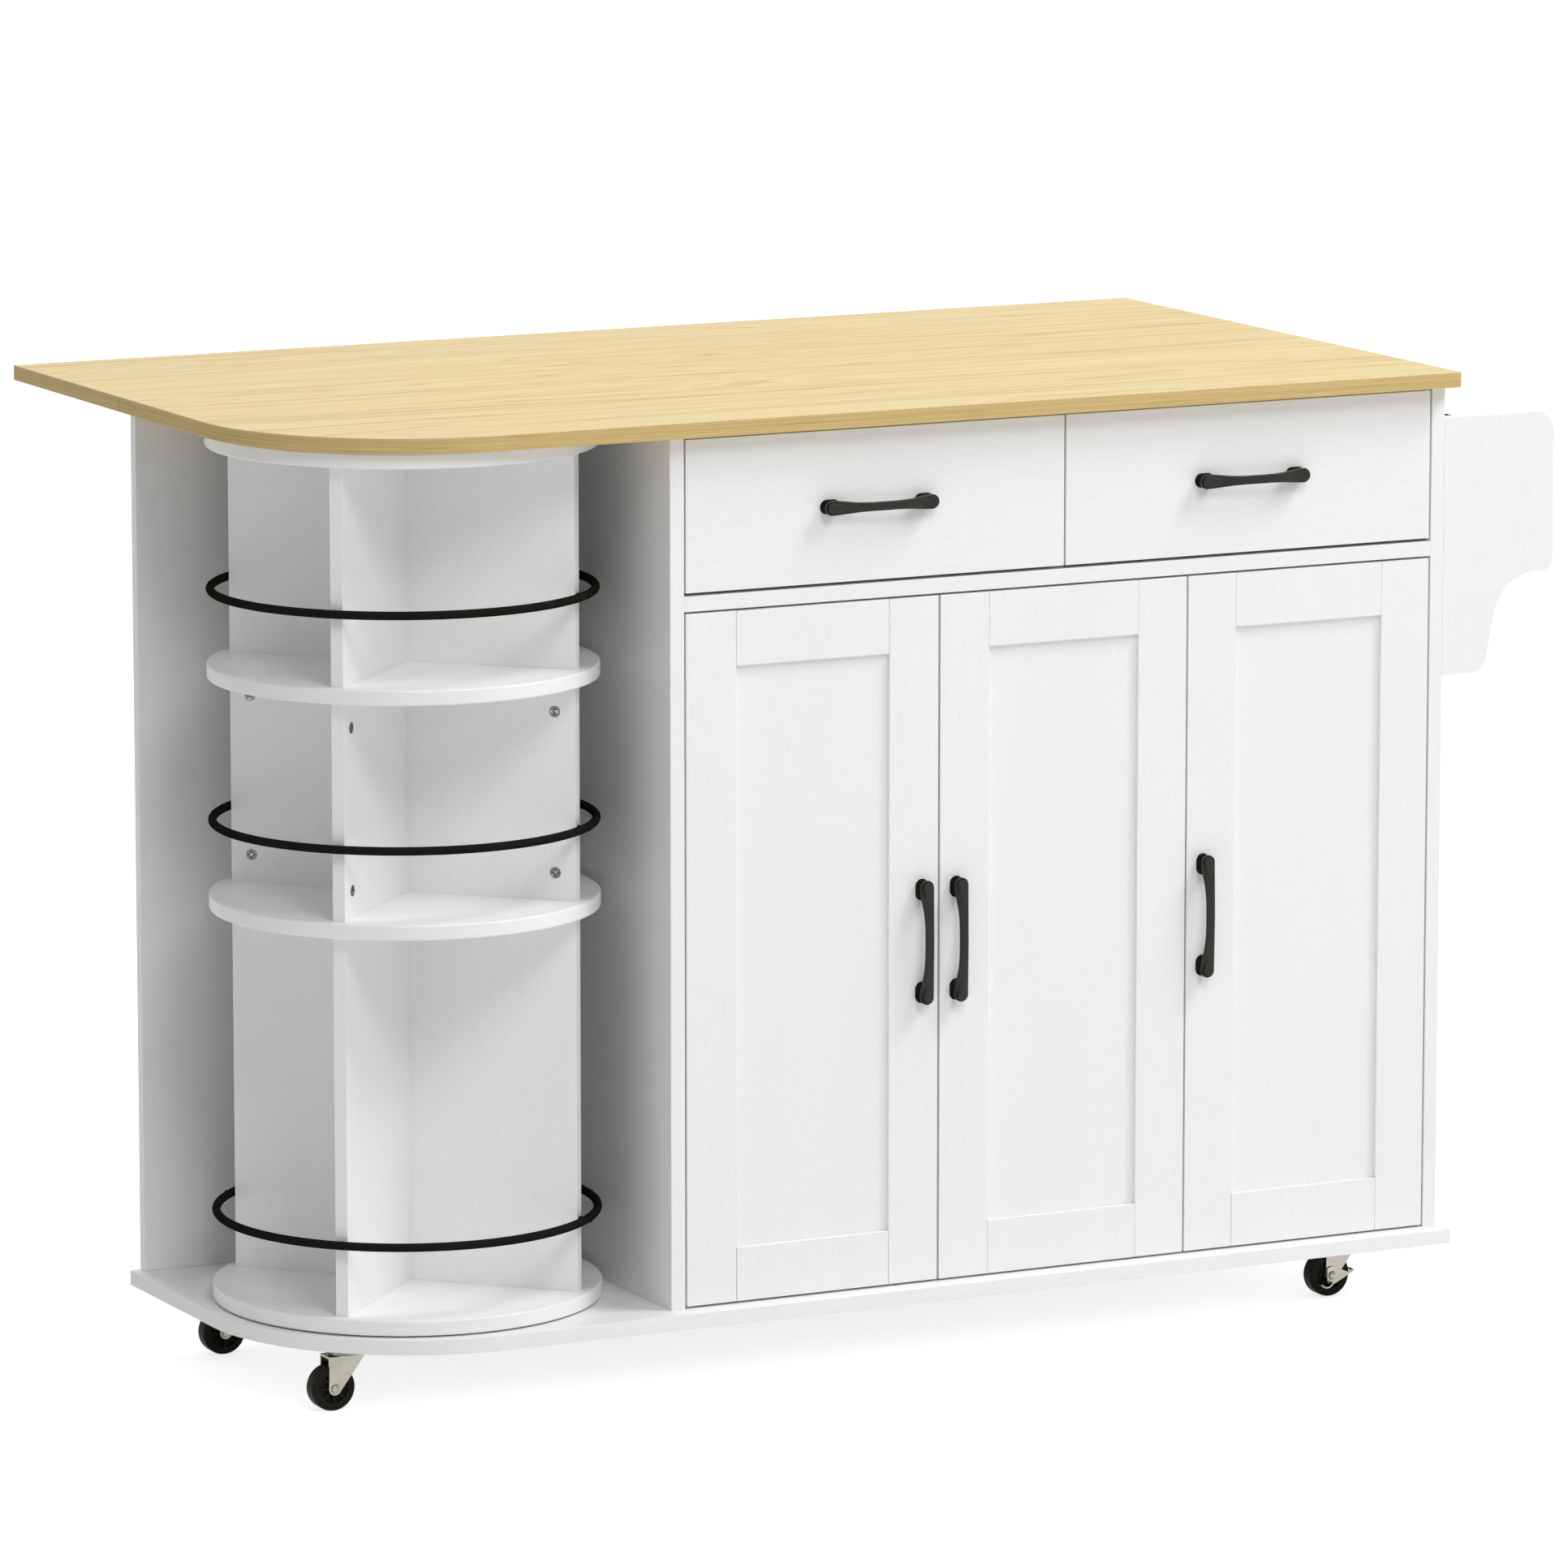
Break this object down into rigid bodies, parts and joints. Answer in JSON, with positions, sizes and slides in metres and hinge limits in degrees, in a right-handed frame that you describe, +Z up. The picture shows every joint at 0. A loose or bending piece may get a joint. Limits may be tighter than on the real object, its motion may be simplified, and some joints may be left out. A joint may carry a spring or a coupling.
{
  "type": "rolling kitchen island",
  "caption": "White rolling kitchen island with a pale wood top and drop leaf, doors and drawers, a turning shelf tower at one end and a spice rack with towel bar at the other.",
  "frame": {"origin": "centre of the bounding box's underside, on the floor, with the leaf raised", "axes": "+X to the right along the length, +Y to the back, +Z up; the doors face -Y"},
  "size_m": [1.3908, 0.6996, 0.95],
  "materials": {
    "white": "satin white lacquer over board",
    "top_wood": "matt pale wood",
    "black_metal": "satin black",
    "zinc": "zinc plated",
    "white_metal": "white enamel",
    "caster_steel": "dull plated",
    "black_plastic": "moulded",
    "bushing_plastic": "moulded"
  },
  "bodies": {
    "carcass": {"base_board": "top_wood", "worktop": "top_wood", "pivot_bushing": "bushing_plastic", "left_side_panel": "white", "right_side_panel": "white", "centre_divider": "white", "drawer_partition": "white", "drawer_divider": "white", "cabinet_back": "white", "bay_back_panel": "white", "shelves": "white", "shelf_pins": "zinc", "rack_boards": "white", "rack_rods": "black_metal", "drawer_slide_rails": "zinc", "hinge_arms": "zinc", "bracket_wall_rails": "white_metal", "caster_plates": "zinc", "turntable_lower_ring": "zinc"},
    "left_drawer": {"left_drawer_front": "white", "left_drawer_box": "white", "left_drawer_handle": "black_metal", "left_drawer_runners": "zinc"},
    "right_drawer": {"right_drawer_front": "white", "right_drawer_box": "white", "right_drawer_handle": "black_metal", "right_drawer_runners": "zinc"},
    "left_door": {"left_door_frame": "white", "left_door_panel": "white", "left_door_handle": "black_metal", "left_door_hinge_cups": "zinc"},
    "middle_door": {"middle_door_frame": "white", "middle_door_panel": "white", "middle_door_handle": "black_metal", "middle_door_hinge_cups": "zinc"},
    "right_door": {"right_door_frame": "white", "right_door_panel": "white", "right_door_handle": "black_metal", "right_door_hinge_cups": "zinc"},
    "tower": {"tower_discs": "white", "tower_panels": "white", "tower_guard_rings": "black_metal", "tower_cam_locks": "zinc", "tower_pivot_pin": "zinc", "turntable_upper_ring": "zinc"},
    "leaf": {"leaf_board": "top_wood", "leaf_bracket_arms": "white_metal"},
    "leaf_stay_lower": {"leaf_stay_lower_links": "white_metal"},
    "leaf_stay_upper": {"leaf_stay_upper_links": "white_metal"},
    "front_left_caster": {"front_left_fork": "caster_steel"},
    "front_left_wheel": {"front_left_wheel": "black_plastic"},
    "back_left_caster": {"back_left_fork": "caster_steel"},
    "back_left_wheel": {"back_left_wheel": "black_plastic"},
    "front_right_caster": {"front_right_fork": "caster_steel"},
    "front_right_wheel": {"front_right_wheel": "black_plastic"},
    "back_right_caster": {"back_right_fork": "caster_steel"},
    "back_right_wheel": {"back_right_wheel": "black_plastic"},
    "front_right_brake": {"front_right_brake": "caster_steel"},
    "back_right_brake": {"back_right_brake": "caster_steel"}
  },
  "joints": [
    {"name": "left_drawer_slide", "type": "slide", "parent": "carcass", "child": "left_drawer", "axis": [0, -1, 0], "range_m": [0, 0.22]},
    {"name": "right_drawer_slide", "type": "slide", "parent": "carcass", "child": "right_drawer", "axis": [0, -1, 0], "range_m": [0, 0.22]},
    {"name": "left_door_hinge", "type": "hinge", "parent": "carcass", "child": "left_door", "pos_m": [-0.2774, -0.32775, 0.42025], "axis": [0, 0, 1], "range_deg": [-100, 0]},
    {"name": "middle_door_hinge", "type": "hinge", "parent": "carcass", "child": "middle_door", "pos_m": [0.27527, -0.32775, 0.42025], "axis": [0, 0, 1], "range_deg": [0, 90]},
    {"name": "right_door_hinge", "type": "hinge", "parent": "carcass", "child": "right_door", "pos_m": [0.5516, -0.32775, 0.42025], "axis": [0, 0, 1], "range_deg": [0, 100]},
    {"name": "tower_spin", "type": "hinge", "parent": "carcass", "child": "tower", "pos_m": [-0.4925, -0.14555, 0.077], "axis": [0, 0, 1], "continuous": true},
    {"name": "leaf_fold", "type": "hinge", "parent": "carcass", "child": "leaf", "pos_m": [-0.0604, 0.08325, 0.926], "axis": [1, 0, 0], "range_deg": [-90, 0]},
    {"name": "stay_lower_turn", "type": "hinge", "parent": "carcass", "child": "leaf_stay_lower", "pos_m": [-0.0604, 0.08325, 0.816], "axis": [1, 0, 0], "range_deg": [-126.25, 0]},
    {"name": "stay_upper_turn", "type": "hinge", "parent": "leaf", "child": "leaf_stay_upper", "pos_m": [-0.0604, 0.23325, 0.926], "axis": [1, 0, 0], "range_deg": [0, 143.75]},
    {"name": "front_left_swivel", "type": "hinge", "parent": "carcass", "child": "front_left_caster", "pos_m": [-0.6134, -0.25975, 0.0225], "axis": [0, 0, 1], "continuous": true},
    {"name": "front_left_roll", "type": "hinge", "parent": "front_left_caster", "child": "front_left_wheel", "pos_m": [-0.6264, -0.25975, 0.0225], "axis": [0, 1, 0], "continuous": true},
    {"name": "back_left_swivel", "type": "hinge", "parent": "carcass", "child": "back_left_caster", "pos_m": [-0.6134, 0.00625, 0.0225], "axis": [0, 0, 1], "continuous": true},
    {"name": "back_left_roll", "type": "hinge", "parent": "back_left_caster", "child": "back_left_wheel", "pos_m": [-0.6264, 0.00625, 0.0225], "axis": [0, 1, 0], "continuous": true},
    {"name": "front_right_swivel", "type": "hinge", "parent": "carcass", "child": "front_right_caster", "pos_m": [0.4926, -0.25975, 0.0225], "axis": [0, 0, 1], "continuous": true},
    {"name": "front_right_roll", "type": "hinge", "parent": "front_right_caster", "child": "front_right_wheel", "pos_m": [0.4796, -0.25975, 0.0225], "axis": [0, 1, 0], "continuous": true},
    {"name": "back_right_swivel", "type": "hinge", "parent": "carcass", "child": "back_right_caster", "pos_m": [0.4926, 0.00625, 0.0225], "axis": [0, 0, 1], "continuous": true},
    {"name": "back_right_roll", "type": "hinge", "parent": "back_right_caster", "child": "back_right_wheel", "pos_m": [0.4796, 0.00625, 0.0225], "axis": [0, 1, 0], "continuous": true},
    {"name": "front_right_brake_rock", "type": "hinge", "parent": "front_right_caster", "child": "front_right_brake", "pos_m": [0.4796, -0.25975, 0.0225], "axis": [0, 1, 0], "range_deg": [0, 16]},
    {"name": "back_right_brake_rock", "type": "hinge", "parent": "back_right_caster", "child": "back_right_brake", "pos_m": [0.4796, 0.00625, 0.0225], "axis": [0, 1, 0], "range_deg": [0, 16]}
  ],
  "couplings": [
    {"joint": "stay_lower_turn", "follows": "leaf_fold", "ratio": 1.4028},
    {"joint": "stay_upper_turn", "follows": "leaf_fold", "ratio": -1.5972}
  ]
}
